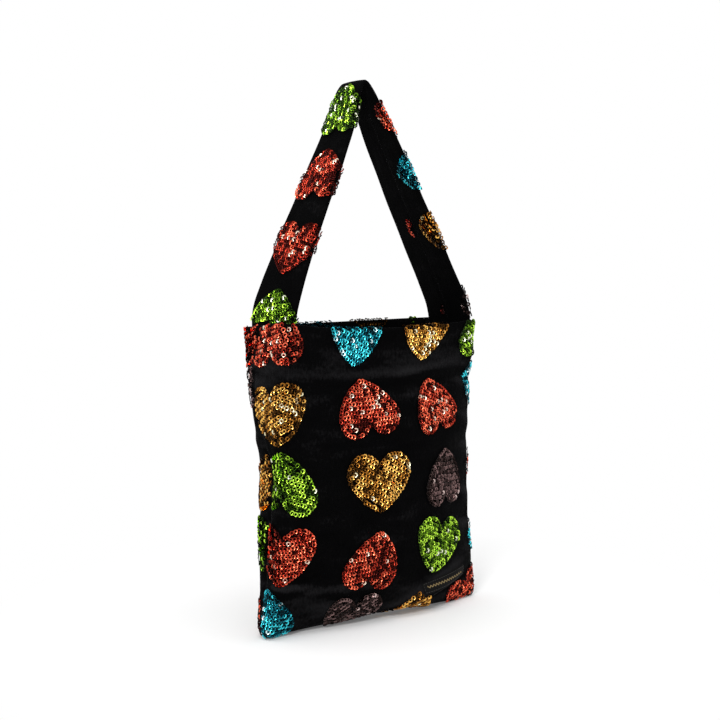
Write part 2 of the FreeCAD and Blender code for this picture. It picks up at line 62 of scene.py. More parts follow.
# The bag's sections, in mm. The left end is blunt, and the right one runs out to its seam below the strap.
HEIGHTS = [0, 35, 100, 150, 190, 240, 275]
HALF_DEPTH = [18, 28, 34, 35, 35, 35, 36]
ENDS = {
    "left": {
        "width": [121, 115.5, 111.5, 109.5, 112, 112, 111.5],
        "corner": [6, 10, 16, 18, 13, 8, 5],
        "side": [4, 8, 10, 10, 16, 25, 30],
        "drift": [3, 5, -1, -5, 12, 14, 4],
    },
    "right": {
        "width": [121, 118, 114, 112.5, 111.5, 110, 107],
        "corner": [5, 5, 5, 5, 6, 6, 5],
        "side": [3, 3, 4, 5, 8, 17, 28],
        "drift": [0, 0, 0, 0, 0, 0, 0],
    },
}
TUCK = 22  # how far up the cloth curves out from its bottom seam
SEAM_DRAW_IN = 5  # how far both ends are drawn in at that seam
MOUTH = 275
LEAN_X, LEAN_Y = -2.7, 7.6  # how far the mouth leans to the left and back

# Hearts on the front: colour, place round and up the cloth in mm, turn in degrees, share of the full width,
# and how far the tip is pulled to the right. A turn of 180 stands on its lobes. The back is seen from behind,
# and its hearts have the full width and a straight tip.
FRONT_HEARTS = [
    ("red", -128, 280, 184, 1.0, 0),
    ("turquoise", -38, 281, -3, 0.8, 0),
    ("gold", 43, 283, -4, 0.82, -7),
    ("green", 117, 281, 180, 0.9, 0),
    ("gold", -122, 211, 9, 0.98, 4),
    ("red", -24, 215, 185, 0.96, -8),
    ("red", 58, 212, 188, 0.8, -15),
    ("turquoise", 129, 223, 0, 0.9, 0),
    ("green", -109, 152, 172, 0.92, -6),
    ("gold", -15, 146, 0, 1.03, 0),
    ("plum", 69, 141, 180, 0.82, 0),
    ("red", 146, 142, 0, 1.0, 0),
    ("red", -113, 88, -5, 0.92, 0),
    ("red", -24, 75, 172, 0.84, 8),
    ("green", 60, 77, -10, 0.95, -3),
    ("turquoise", 146, 84, 180, 1.0, 0),
    ("turquoise", -126, 30, 180, 0.9, 0),
    ("plum", -36, 17, 0, 0.86, 0),
    ("gold", 25, 8, 180, 0.9, 16),
    ("red", 113.5, 14, 25, 1.0, 0),
]
BACK_HEARTS = [heart + (1.0, 0) for heart in [
    ("green", -112, 279, 0),
    ("gold", -30, 278, 180),
    ("turquoise", 50, 281, 0),
    ("red", 130, 278, 180),
    ("red", -110, 216, 180),
    ("turquoise", -27, 214, 6),
    ("green", 53, 215, 180),
    ("plum", 142, 226, 0),
    ("gold", -108, 149, -5),
    ("red", -26, 147, 180),
    ("red", 54, 148, 0),
    ("gold", 134, 150, 178),
    ("turquoise", -109, 83, 184),
    ("plum", -28, 82, 0),
    ("gold", 52, 83, 176),
    ("green", 133, 93, 0),
    ("turquoise", -112, 20, 0),
    ("plum", -30, 19, 180),
    ("green", 51, 21, 0),
    ("red", 131, 26, 180),
]]
# Hearts on the strap: colour, arm, height, place round from the middle of the outer face towards the front,
# turn, share of the full width
STRAP_HEARTS = [
    ("green", "left", 465, 2, 182, 0.8),
    ("red", "left", 406, 3, 184, 0.94),
    ("red", "left", 341, 2, -4, 0.94),
    ("green", "left", 281, 3, 180, 0.94),
    ("red", "right", 452, 5, 0, 0.74),
    ("turquoise", "right", 411, 19, -90, 0.7),
    ("gold", "right", 355, 13, 5, 0.94),
    ("plum", "right", 297, 3, 180, 0.94),
    ("red", "right", 276, -85, 0, 0.94),
    ("red", "right", 359, -81, 10, 0.94),
    ("gold", "left", 372, -79, 0, 0.94),
    ("turquoise", "left", 300, -79, 0, 0.94),
    ("green", "left", 430, 79, 180, 0.94),
]


def through(levels, values, at):
    """Smooth values at some heights, through the values given at the levels."""
    levels, values = np.array(levels, float), np.array(values, float)
    slopes = np.gradient(values, levels)
    k = np.clip(np.searchsorted(levels, at) - 1, 0, len(levels) - 2)
    span = levels[k + 1] - levels[k]
    t = (at - levels[k]) / span
    ease = t * t * (3 - 2 * t)
    bends = span * (slopes[k] * t * (1 - t) ** 2 - slopes[k + 1] * t * t * (1 - t))
    return values[k] + (values[k + 1] - values[k]) * ease + bends


def run_length(points):
    """How far along a line of points each of them lies."""
    return np.concatenate([[0], np.cumsum(np.linalg.norm(np.diff(points, axis=0), axis=1))])


def between(at, steps, points):
    """Places along a line of points, by the way along it."""
    return np.stack([np.interp(at, steps, column) for column in points.T], -1)


def unit(vectors):
    """Vectors of length 1."""
    return vectors / np.maximum(np.linalg.norm(vectors, axis=-1, keepdims=True), 1e-9)


def bell(off, half):
    """1 in the middle, falling off smoothly on both sides."""
    return np.exp(-((off / half) ** 2))


def facing(point, a, b, step):
    """A cloth's two directions and its outward normal at some places."""
    across = point(a + step, b) - point(a - step, b)
    upward = point(a, b + step) - point(a, b - step)
    return across, upward, unit(np.cross(across, upward))


# The sections at many heights. rise is the way up the cloth from its bottom seam, TOP its end at the mouth.
TUCK_STEPS, WALL_STEPS = 30, 180
LEAST_FULLNESS = 0.02
turn = np.linspace(0, math.pi / 2, TUCK_STEPS)
wall = np.linspace(TUCK, MOUTH, WALL_STEPS)[1:]
heights = np.concatenate([TUCK * (1 - np.cos(turn)), wall])
fullness = np.maximum(np.concatenate([np.sin(turn), np.ones_like(wall)]), LEAST_FULLNESS)
depths = through(HEIGHTS, HALF_DEPTH, heights) * fullness
rise = np.concatenate([[0], np.cumsum(np.hypot(np.diff(heights), np.diff(depths)))])
TOP = rise[-1]
ends = {}
for end, sizes in ENDS.items():
    ends[end] = {name: through(HEIGHTS, values, heights) for name, values in sizes.items()}
    ends[end]["width"] -= SEAM_DRAW_IN * (1 - fullness) ** 2
    ends[end]["corner"] *= fullness
    ends[end]["side"] *= fullness

# What keeps a section sound where it runs out at the bottom seam
LEAST_DEPTH, LEAST_CORNER = 0.6, 0.3
SIDE_SHARE, CORNER_SHARE, DRIFT_SHARE = 0.85, 0.9, 0.8


def section(right, v, inset, back):
    """The half section v mm up the cloth.

    Its half width and depth, the corner's radius, the half side, the front's radius and its swing, and how
    far the side seam drifts from the middle of the side.
    """
    width, corner, side, drift = (
        np.where(right, np.interp(v, rise, ends["right"][n]), np.interp(v, rise, ends["left"][n]))
        for n in ("width", "corner", "side", "drift")
    )
    width = width - inset
    depth = np.maximum(np.interp(v, rise, depths) - inset, LEAST_DEPTH)
    side = np.minimum(side, depth * SIDE_SHARE)
    corner = np.minimum(np.maximum(corner - inset, LEAST_CORNER), (depth - side) * CORNER_SHARE)
    reach = ((width - corner) ** 2 + (depth - side) ** 2 - corner**2) / (2 * (depth - side - corner))
    swing = np.arctan2(width - corner, reach - depth + side)
    drift = np.clip(drift, -side * DRIFT_SHARE, side * DRIFT_SHARE) * (-1 if back else 1)
    return width, depth, corner, side, reach, swing, drift


def half_length(s, v, back):
    """From the middle of the panel to its side seam, along the cloth."""
    _, _, corner, side, reach, swing, drift = section((s > 0) != back, v, 0.0, back)
    return reach * swing + corner * (math.pi / 2 - swing) + side + drift


def shell(part, v, inset, back):
    """The bag's plain form: part runs from -1 to 1 between the side seams, v up the cloth."""
    width, depth, corner, side, reach, swing, drift = section((part > 0) != back, v, inset, back)
    front, bend = reach * swing, corner * (math.pi / 2 - swing)
    a = np.abs(part) * (front + bend + side + drift)
    turned = swing + (a - front) / corner
    on_front, on_bend = a <= front, a <= front + bend
    x = np.where(on_bend, width - corner + corner * np.sin(turned), width)
    x = np.where(on_front, reach * np.sin(a / reach), x)
    y = np.where(on_bend, -side - corner * np.cos(turned), a - front - bend - side)
    y = np.where(on_front, reach - depth - reach * np.cos(a / reach), y)
    p = np.stack([np.sign(part) * x, y, np.interp(v, rise, heights)], -1)
    return p * np.array([-1, -1, 1]) if back else p


# Points along each side of a random lattice, and where the cloth's middle lies on it
LATTICE, LATTICE_START = 64, 20


def ripple(a, b, seed):
    """Smooth random heights between -1 and 1 over a plane, one lattice step long."""
    lattice = np.random.default_rng(seed).uniform(-1, 1, (LATTICE, LATTICE))
    a, b = a + LATTICE_START, b + LATTICE_START
    i, j = np.floor(a).astype(int), np.floor(b).astype(int)
    fa, fb = a - i, b - j
    fa, fb = fa * fa * (3 - 2 * fa), fb * fb * (3 - 2 * fb)

    def at(di, dj):
        return lattice[(i + di) % LATTICE, (j + dj) % LATTICE]

    low = at(0, 0) * (1 - fa) + at(1, 0) * fa
    high = at(0, 1) * (1 - fa) + at(1, 1) * fa
    return low * (1 - fb) + high * fb


def wave(size, a, b, seed):
    """Ripples of some height, and of some length across and up."""
    height, across, up = size
    return height * ripple(a / across, b / up, seed)


# Folds of the two panels: both ends, half width and height, in mm round and up the cloth.
FRONT_FOLDS = [
    ((-75, 243), (-5, 240), 6, 1.1),
    ((-5, 240), (88, 249), 5, 1.2),
    ((20, 230), (95, 236), 6, -0.9),
    ((96, 262), (128, 250), 5, 1.8),
    ((92, 236), (128, 228), 6, -2.2),
    ((80, 196), (126, 184), 8, 1.6),
    ((86, 170), (126, 176), 6, -1.6),
    ((88, 122), (128, 112), 7, 1.5),
    ((90, 98), (128, 92), 5, -1.3),
    ((-132, 66), (-88, 62), 4, -1.2),
    ((-132, 58), (-92, 55), 4, 1.1),
    ((-84, 52), (-10, 46), 5, 1.0),
    ((-6, 10), (112, 54), 8, 3.6),
    ((16, 6), (114, 38), 8, -2.8),
    ((70, 70), (120, 88), 6, 1.2),
    ((-60, 24), (-10, 20), 6, 1.3),
    ((-130, 190), (-112, 178), 5, 1.0),
]
BACK_FOLDS = [
    ((-80, 246), (70, 242), 6, 1.1),
    ((-126, 236), (-92, 228), 6, 1.6),
    ((-124, 176), (-84, 190), 8, -1.5),
    ((-126, 110), (-88, 118), 7, 1.5),
    ((-70, 40), (20, 60), 7, 1.5),
    ((30, 60), (110, 34), 6, -1.3),
    ((90, 190), (130, 182), 6, 1.2),
    ((96, 120), (130, 128), 6, -1.0),
]


# Slack all over the cloth, as height and lengths, and where it eases off near the side and bottom seams
BROAD_WAVE, FINE_WAVE = (1.5, 46, 58), (0.5, 17, 21)
SIDE_EASE, BOTTOM_EASE = 14, 12
# Puckers along the side seams: their reach from the seam, and where they ease off at the mouth and the bottom
PUCKER_REACH, PUCKER_TOP, PUCKER_FOOT = 9, 20, 10
SEAM_DEPTH, SEAM_HALF = 1.1, 2.6


def folds(s, v, gap, back):
    """How far the cloth stands out from the plain form. gap is the way to the nearer side seam."""
    out = np.zeros_like(s + v)
    for (s0, v0), (s1, v1), half, height in BACK_FOLDS if back else FRONT_FOLDS:
        run_s, run_v = s1 - s0, v1 - v0
        along = np.clip(((s - s0) * run_s + (v - v0) * run_v) / (run_s**2 + run_v**2), 0, 1)
        off = np.hypot(s - s0 - along * run_s, v - v0 - along * run_v)
        out = out + height * np.sin(np.clip(along, 0.06, 0.94) * math.pi) ** 0.5 * bell(off, half)
    seed = 20 if back else 10
    out = out + wave(BROAD_WAVE, s, v, seed) + wave(FINE_WAVE, s, v, seed + 1)
    out = out * np.clip(gap / SIDE_EASE, 0, 1) ** 1.5 * np.clip(v / BOTTOM_EASE, 0, 1)
    # each side seam has a line of the lattice to itself
    left = (s < 0) != back
    pucker = ripple(v / 9.0, np.where(left, -16.5, -10.5), 31)
    pucker = pucker + 0.6 * ripple(v / 23.0, np.where(left, -14.5, -12.5), 32)
    hem = np.clip((TOP - v) / PUCKER_TOP, 0, 1) * np.clip(v / PUCKER_FOOT, 0, 1)
    out = out + pucker * np.exp(-gap / PUCKER_REACH) * hem
    return out - SEAM_DEPTH * bell(gap, SEAM_HALF)


# The bottom seam wanders back and forth below the foot's height, and is lifted at one place.
FOOT_HEIGHT, SWAY, SWAY_HALF = 60, 7, 121
LIFT, LIFT_AT, LIFT_HALF = 5.0, 20, 48
# How far the mouth's edge dips, at places from the left end to the right one, in front and at the back
FRONT_DIP = ([-110, -70, -40, 10, 60, 110], [-2.0, 2.5, 4.5, 5.0, 4.0, 1.0])
BACK_DIP = ([-110, 110], [3.5, 0.5])


def lean(p):
    """The filled bag leans back a little, its bottom seam wanders, and its mouth's edge dips."""
    x, y, z = p[..., 0], p[..., 1], p[..., 2]
    up = np.clip(z / MOUTH, 0, None)
    foot = np.clip(1 - z / FOOT_HEIGHT, 0, 1) ** 2
    sway = -SWAY * np.sin(np.clip(x / SWAY_HALF, -1, 1) * math.pi) * foot
    lift = LIFT * bell(x - LIFT_AT, LIFT_HALF) * foot
    front = np.clip(0.5 - y / 50, 0, 1)
    dip = (front * np.interp(x, *FRONT_DIP) + (1 - front) * np.interp(x, *BACK_DIP)) * up**5
    return p + np.stack([LEAN_X * up, LEAN_Y * up**1.3 + sway, lift - dip], -1)


def cloth(part, v, inset, back):
    """The velvet with its folds, as points in mm."""
    step = 0.4
    length = half_length(part, v, back)
    one_side, other = np.clip(part + step / length, -1, 1), np.clip(part - step / length, -1, 1)
    across = shell(one_side, v, inset, back) - shell(other, v, inset, back)
    upward = shell(part, v + step, inset, back) - shell(part, v - step, inset, back)
    stand = folds(part * length, v, (1 - np.abs(part)) * length, back)
    return lean(shell(part, v, inset, back) + unit(np.cross(across, upward)) * stand[..., None])


# The label's lower left corner round and up the front, in mm, its turn and size, and the bare velvet round it
LABEL_AT = (39.7, 30.5)
LABEL_TURN = math.radians(9)
LABEL_LENGTH, LABEL_HEIGHT = 60.0, 11.0
LABEL_MARGIN = 2


def under_label(s, v):
    """Whether a place on the front lies under the label or close beside it."""
    c, k = math.cos(LABEL_TURN), math.sin(LABEL_TURN)
    a = (s - LABEL_AT[0]) * c + (v - LABEL_AT[1]) * k
    b = (v - LABEL_AT[1]) * c - (s - LABEL_AT[0]) * k
    along = (a > -LABEL_MARGIN) & (a < LABEL_LENGTH + LABEL_MARGIN)
    return along & (b > -LABEL_MARGIN) & (b < LABEL_HEIGHT + LABEL_MARGIN)


# The velvet's roll over the mouth's edge, from outside to inside, and its rise. Hearts run over it only
# between the strap's ends.
RIM, RIM_RISE, RIM_HALF = 3.3, 0.85, 84
# How far sequins stay from the side seams, the bottom seam and the floor
SIDE_MARGIN, BOTTOM_MARGIN, FLOOR_MARGIN = 1.6, 2, 2.3


def panel_point(back):
    """A function from mm round and up the panel to points, and one that says where sequins can be sewn."""

    def point(s, v):
        over = np.maximum(v - TOP, 0)
        level = np.minimum(v, TOP)
        inside = TOP - np.maximum(over - RIM, 0)
        p = cloth(s / half_length(s, level, back), np.minimum(level, inside), np.minimum(over, RIM), back)
        return p + np.array([0, 0, RIM_RISE]) * np.sin(np.clip(over / RIM, 0, 1) * math.pi)[..., None]

    def on_it(s, v):
        inside = (np.abs(s) < half_length(s, v, back) - SIDE_MARGIN) & ((v < TOP) | (np.abs(s) < RIM_HALF))
        inside = inside & (v > BOTTOM_MARGIN) & (point(s, v)[:, 2] > FLOOR_MARGIN)
        return inside if back else inside & ~under_label(s, v)

    return point, on_it


# The strap's middle line, from the sewn left end over the top to the right one: x, y, z, width, twist.
STRAP_LINE = [
    (-103.2, 6.2, 236, 46, 6),
    (-103.6, 6.8, 255, 50, 8),
    (-103.4, 7.4, 272, 55, 9),
    (-101.2, 7.7, 288, 57, 9),
    (-94.0, 8.0, 308, 55.5, 8),
    (-80.5, 8.6, 340, 53.5, 5),
    (-62.5, 9.2, 380, 52, 3),
    (-44.0, 9.9, 420, 50, 1),
    (-30.5, 10.6, 450, 45, 0),
    (-23.0, 11.2, 470, 39, 0),
    (-19.5, 11.5, 482, 36, 0),
    (-12.5, 11.6, 490.5, 34, 0),
    (-5.0, 11.5, 482.5, 36, 0),
    (1.5, 11.2, 470, 39, 0),
    (11.5, 10.6, 450, 45, 0),
    (27.0, 9.9, 420, 50, 0),
    (47.5, 9.2, 380, 52, 2),
    (68.5, 8.6, 340, 53.5, 3),
    (85.5, 8.0, 308, 55, 4),
    (94.8, 7.7, 288, 56, 4),
    (97.6, 7.4, 272, 55, 4),
    (98.2, 6.8, 255, 50, 3),
    (98.0, 6.2, 236, 46, 2),
]
STRAP_THICK = 4.6
STRAP_STEPS, SMOOTHINGS = 900, 30

knots = np.array(STRAP_LINE, float)
chord = run_length(knots[:, :3])
fine = np.linspace(0, chord[-1], STRAP_STEPS)
strap_line = np.stack([through(chord, column, fine) for column in knots.T], -1)
for _ in range(SMOOTHINGS):
    strap_line[1:-1] = (strap_line[:-2] + 2 * strap_line[1:-1] + strap_line[2:]) / 4
walk = run_length(strap_line[:, :3])
STRAP_LENGTH = walk[-1]
slope = unit(np.gradient(strap_line[:, :3], walk, axis=0))
summit = walk[strap_line[:, 2].argmax()]

FRONT = np.array([0.0, -1.0, 0.0])
# The strap's padding, the ridge of the seam inside, its slack, and the gathers inside its top
CROWN = 0.7
RIDGE, RIDGE_HALF = 0.15, 1.6
STRAP_WAVE = (0.45, 14, 26)
GATHER, GATHER_HALF = 0.8, 16


def strap_point(t, u):
    """The strap's velvet: t mm round from the middle of its outer face towards the front, u along it."""
    t, u = np.broadcast_arrays(np.asarray(t, float), np.asarray(u, float))
    line = between(u, walk, strap_line)
    middle, width, twist = line[..., :3], line[..., 3], line[..., 4]
    along = between(u, walk, slope)
    forward = unit(FRONT - along * (along @ FRONT)[..., None])
    outward = np.cross(forward, along)
    angle = np.radians(twist)[..., None] * np.where(u < summit, 1, -1)[..., None]
    forward, outward = (
        forward * np.cos(angle) - outward * np.sin(angle),
        outward * np.cos(angle) + forward * np.sin(angle),
    )
    r = STRAP_THICK / 2
    flat = width / 2 - r
    a = np.abs(t)
    bend = np.clip((a - flat) / r, 0, math.pi)
    inner = np.clip(a - flat - math.pi * r, 0, flat)
    x = np.where(a <= flat, a, flat + r * np.sin(bend) - inner)
    y = np.where(a <= flat, r, r * np.cos(bend))
    crown = CROWN * (1 - np.clip(x / np.maximum(flat, 1), 0, 1) ** 2) * np.where(y > 0, 1, -0.5)
    seam = RIDGE * bell(flat - inner, RIDGE_HALF) * (bend >= math.pi - 1e-6)
    gather = GATHER * np.sin(u / 3.1 + t / 11) * bell(u - summit, GATHER_HALF) * (y < 0)
    slack = (wave(STRAP_WAVE, t, u, 41) + gather) * np.where(y > 0, 1, 0.6)
    y = y + crown + seam + slack
    return middle + forward * (np.sign(t) * x)[..., None] + outward * y[..., None]


def strap_round(u):
    """Half way round the strap, from the middle of its outer face to the seam inside."""
    width = np.interp(u, walk, strap_line[:, 3])
    return width - STRAP_THICK + math.pi * STRAP_THICK / 2


# How far sequins stay from the strap's inner seam, the mouth and the strap's top
INNER_MARGIN, MOUTH_MARGIN, SUMMIT_MARGIN = 1.8, 2, 8


def strap_holds(t, u):
    """Whether a sequin lies on the strap above the mouth."""
    above = np.interp(u, walk, strap_line[:, 2]) > MOUTH + MOUTH_MARGIN
    return (np.abs(t) < strap_round(u) - INNER_MARGIN) & above & (np.abs(u - summit) > SUMMIT_MARGIN)


UV_UNIT = 0.01  # one unit of the cloth's map to 100 mm


def new_object(name, data):
    """An object in the scene."""
    made = bpy.data.objects.new(name, data)
    scene.collection.objects.link(made)
    return made


def add_map(mesh, name, places):
    """A map on a mesh, with one place per point."""
    corners = np.zeros(len(mesh.loops), np.int32)
    mesh.loops.foreach_get("vertex_index", corners)
    mesh.uv_layers.new(name=name).data.foreach_set("uv", places[corners].astype(np.float32).ravel())


def mesh_piece(name, points, faces, material, uv=None, painted_sheen=None):
    """A mesh object from points in mm. uv has one pair per point, in mm, and the last argument gives painted
    sheen, one value per point.
    """
    mesh = bpy.data.meshes.new(name)
    mesh.from_pydata((np.reshape(points, (-1, 3)) * MM).tolist(), [], faces)
    for m in material if isinstance(material, list) else [material]:
        mesh.materials.append(m)
    if uv is not None:
        add_map(mesh, "cloth", np.reshape(uv, (-1, 2)) * UV_UNIT)
    # painted sheen on the velvet, stored per point for its base colour
    if painted_sheen is not None:
        lightness = mesh.attributes.new("painted_sheen", "FLOAT", "POINT").data
        lightness.foreach_set("value", np.ravel(painted_sheen).astype(np.float32))
    mesh.polygons.foreach_set("use_smooth", [True] * len(mesh.polygons))
    mesh.update()
    return new_object(name, mesh)


def grid_faces(rows, columns, closed=False, flip=False):
    """Quads over a grid of points, row by row."""
    faces = []
    for i in range(rows - 1):
        for j in range(columns if closed else columns - 1):
            k = (j + 1) % columns
            quad = (i * columns + j, i * columns + k, (i + 1) * columns + k, (i + 1) * columns + j)
            faces.append(quad[::-1] if flip else quad)
    return faces


# Materials

def set_inputs(node, inputs):
    """Links sockets to a node's inputs, and sets plain values on them."""
    for name, value in inputs.items():
        if isinstance(value, bpy.types.NodeSocket):
            node.id_data.links.new(value, node.inputs[name])
        else:
            node.inputs[name].default_value = value


def add(tree, kind, inputs=None, **settings):
    """The outputs of a new node, with its settings, and its inputs as sockets or plain values."""
    node = tree.nodes.new("ShaderNode" + kind)
    for name, value in settings.items():
        setattr(node, name, value)
    set_inputs(node, inputs or {})
    return node.outputs


def new_material(name):
    material = bpy.data.materials.new(name)
    material.use_nodes = True
    return material, material.node_tree


def dressed(material, inputs):
    """A material with its shader's inputs set."""
    set_inputs(material.node_tree.nodes["Principled BSDF"], inputs)
    return material


def noise(place, scale, detail=4.0, roughness=0.55):
    inputs = {"Vector": place, "Scale": scale, "Detail": detail, "Roughness": roughness}
    return add(place.id_data, "TexNoise", inputs)["Fac"]


def ramp(fac, stops):
    """Colours from a pattern."""
    colours = add(fac.id_data, "ValToRGB", {"Fac": fac})["Color"]
    elements = colours.node.color_ramp.elements
    for k, (position, colour) in enumerate(stops):
        stop = elements[k] if k < 2 else elements.new(position)
        stop.position = position
        stop.color = (*colour, 1)
    return colours


def bump(height, strength, distance, below=None):
    """Relief from a pattern, over the relief below it."""
    inputs = {"Height": height, "Strength": strength, "Distance": distance}
    if below is not None:
        inputs["Normal"] = below
    return add(height.id_data, "Bump", inputs)["Normal"]


def rough(fac, low, high):
    """Roughness between two values, from a pattern."""
    inputs = {"Value": fac, "From Min": 0.3, "From Max": 0.7, "To Min": low, "To Max": high}
    return add(fac.id_data, "MapRange", inputs)["Result"]


def reckon(operation, first, second):
    return add(first.id_data, "Math", {0: first, 1: second}, operation=operation)[0]


def centred(fac, share):
    """A pattern spread about 0, by a share of its own spread."""
    return reckon("MULTIPLY", reckon("SUBTRACT", fac, 0.5), share)


def stretched(tree, across, up):
    """Cloth coordinates, one unit to 100 mm, stretched along the nap."""
    uv = add(tree, "UVMap", uv_map="cloth")["UV"]
    return add(tree, "Mapping", {"Vector": uv, "Scale": (across, up, 1)})["Vector"]


def velvet_material():
    """Black velvet: soft sheen at grazing angles, brushed patches, a fine nap, and painted sheen read from
    the mesh.
    """
    material, tree = new_material("black_velvet")
    patches = centred(noise(stretched(tree, 2.0, 7.0), 1.0, 3.0, 0.5), 0.6)
    grain = centred(noise(stretched(tree, 52, 30), 0.8, 2.0, 0.6), 0.4)
    # painted sheen from the mesh, added to the random patches and grain
    painted_sheen = add(tree, "Attribute", attribute_name="painted_sheen")["Fac"]
    light = reckon("ADD", reckon("ADD", patches, painted_sheen), grain)
    deep, plain, pale = (0.0005, 0.0005, 0.0006), (0.0016, 0.0015, 0.0017), (0.013, 0.0126, 0.0136)
    nap = noise(stretched(tree, 150, 95), 1.0, 3.0, 0.7)
    brush = noise(stretched(tree, 14, 5), 1.0, 4.0, 0.6)
    return dressed(material, {
        "Base Color": ramp(reckon("ADD", light, 0.5), [(0.3, deep), (0.58, plain), (0.9, pale)]),
        "Roughness": rough(brush, 0.76, 0.88),
        "Normal": bump(nap, 0.45, 0.0006, bump(brush, 0.35, 0.0016)),
        "Specular IOR Level": 0.02,
        "Sheen Weight": 0.1,
        "Sheen Roughness": 0.2,
        "Sheen Tint": (0.62, 0.61, 0.66, 1),
    })


def satin_material():
    """Black satin lining: fine ribs and a soft lengthwise shine."""
    material, tree = new_material("black_satin")
    cloud = noise(stretched(tree, 3, 3), 1.0, 3.0)
    ribs = add(tree, "TexWave", {"Vector": stretched(tree, 1, 6), "Scale": 40})["Fac"]
    return dressed(material, {
        "Base Color": ramp(cloud, [(0.3, (0.012, 0.011, 0.012)), (0.7, (0.026, 0.025, 0.027))]),
        "Roughness": rough(cloud, 0.31, 0.41),
        "Normal": bump(ribs, 0.1, 0.0003),
        "Specular IOR Level": 0.4,
        "Sheen Weight": 0.1,
    })


def thread_material(name, colour):
    """Twisted sewing thread."""
    material, tree = new_material(name)
    twist = noise(add(tree, "TexCoord")["Object"], 900, 2)
    light = tuple(min(1, c * 1.7) for c in colour)
    return dressed(material, {
        "Base Color": ramp(twist, [(0.35, colour), (0.65, light)]),
        "Roughness": rough(twist, 0.52, 0.68),
        "Normal": bump(twist, 0.4, 0.0002),
    })


# The label's zigzag, in units of its map: the size of its steps, its foot, half its thickness, the bare ends
ZIGZAG_STEP, ZIGZAG_FOOT, ZIGZAG_HALF = 0.018, 0.046, 0.0055
BARE_END = 0.05


def label_material():
    """Black woven label: damask ribs and a plain gold zigzag."""
    material, tree = new_material("woven_label")
    uv = add(tree, "UVMap", uv_map="cloth")["UV"]
    place = add(tree, "SeparateXYZ", {"Vector": uv})
    weave = add(tree, "TexWave", {"Vector": uv, "Scale": 28})["Fac"]
    ribs = ramp(weave, [(0.2, (0.002, 0.002, 0.002)), (0.8, (0.006, 0.0057, 0.0055))])
    off = reckon("SUBTRACT", place["Y"], reckon("PINGPONG", place["X"], ZIGZAG_STEP))
    off = reckon("ABSOLUTE", reckon("SUBTRACT", off, ZIGZAG_FOOT), 0.0)
    from_end = reckon("PINGPONG", place["X"], LABEL_LENGTH * UV_UNIT / 2)
    bare = reckon("LESS_THAN", from_end, BARE_END)
    line = reckon("SUBTRACT", reckon("LESS_THAN", off, ZIGZAG_HALF), bare)
    colours = {"Factor": line, "A": ribs, "B": (0.26, 0.19, 0.09, 1)}
    return dressed(material, {
        "Base Color": add(tree, "Mix", colours, data_type="RGBA")["Result"],
        "Roughness": rough(weave, 0.66, 0.74),
        "Normal": bump(weave, 0.3, 0.0003),
        "Specular IOR Level": 0.08,
    })


# Each colour's foil as lit and shaded copies: painted shade, plain, painted light and a painted glint. The
# shares are those of the first three.
SEQUIN_TONES = {
    "red": [(0.04, 0.005, 0.004), (0.36, 0.032, 0.017), (1.0, 0.15, 0.075), (1.0, 0.72, 0.57)],
    "gold": [(0.045, 0.019, 0.004), (0.36, 0.148, 0.022), (1.0, 0.49, 0.105), (1.0, 0.85, 0.56)],
    "green": [(0.012, 0.03, 0.004), (0.11, 0.23, 0.012), (0.5, 0.86, 0.065), (0.9, 1.0, 0.68)],
    "turquoise": [(0.003, 0.026, 0.035), (0.012, 0.2, 0.26), (0.06, 0.7, 0.8), (0.7, 0.96, 1.0)],
    "plum": [(0.018, 0.011, 0.01), (0.058, 0.036, 0.034), (0.19, 0.116, 0.111), (0.66, 0.5, 0.47)],
}
TONE_SHARES = [0.22, 0.4, 0.38]
SEQUIN_SEEDS = {"red": 0, "gold": 7, "green": 514, "turquoise": 21, "plum": 28}
SEQUIN_ROUGHNESS = [0.26, 0.22, 0.2, 0.28]


def sequin_material(name, tone, roughness):
    """Foil in one painted tone of light and shade, a little uneven and worn."""
    material, tree = new_material(name)
    grain = noise(add(tree, "TexCoord")["Object"], 650, 2.0)
    dull, fresh = (tuple(min(1.0, c * share) for c in tone) for share in (0.76, 1.2))
    return dressed(material, {
        "Base Color": ramp(grain, [(0.32, dull), (0.68, fresh)]),
        "Roughness": rough(grain, roughness + 0.05, roughness - 0.05),
        "Normal": bump(grain, 0.15, 0.0002),
        "Metallic": 1.0,
    })


velvet = velvet_material()
satin = satin_material()
black_thread = thread_material("black_thread", (0.012, 0.012, 0.013))
dark_thread = thread_material("dark_thread", (0.014, 0.012, 0.01))
woven = label_material()
foil = {}
for colour, tones in SEQUIN_TONES.items():
    foil[colour] = []
    for k, (tone, roughness) in enumerate(zip(tones, SEQUIN_ROUGHNESS)):
        foil[colour].append(sequin_material(f"{colour}_sequin_{k + 1}", tone, roughness))


# Velvet panels, turned in at the mouth

def painted_velvet_sheen(part, v, back):
    """Painted sheen on the velvet: lighter where a fold turns up towards the light, below the mouth, at the
    ends and low down.
    """
    length = half_length(part, v, back)
    s, gap = part * length, (1 - np.abs(part)) * length
    upward = folds(s, v - 2, gap, back) - folds(s, v + 2, gap, back)
    below_mouth, at_ends, low_down = 0.17 * bell(v - 250, 20), 0.09 * bell(gap, 25), 0.16 * bell(v - 34, 16)
    return np.clip(0.3 * upward, -0.15, 0.28) + (below_mouth + at_ends + low_down)


# The panels' columns, which crowd towards the side seams, and the velvet turned in at the mouth
PANEL_COLUMNS, CROWDING = 133, 0.82
FACING_DEPTH, FACING_ROWS = 42, 18
# The roll over the mouth's edge: heights above it, and insets
ROLL = [(0.35, 0.35), (0.75, 1.0), (0.85, 1.7), (0.6, 2.4), (-0.4, 3.0)]
BACK_MAP = 500  # keeps the back's part of the cloth's map clear of the front's
STRAP_MAP = 900


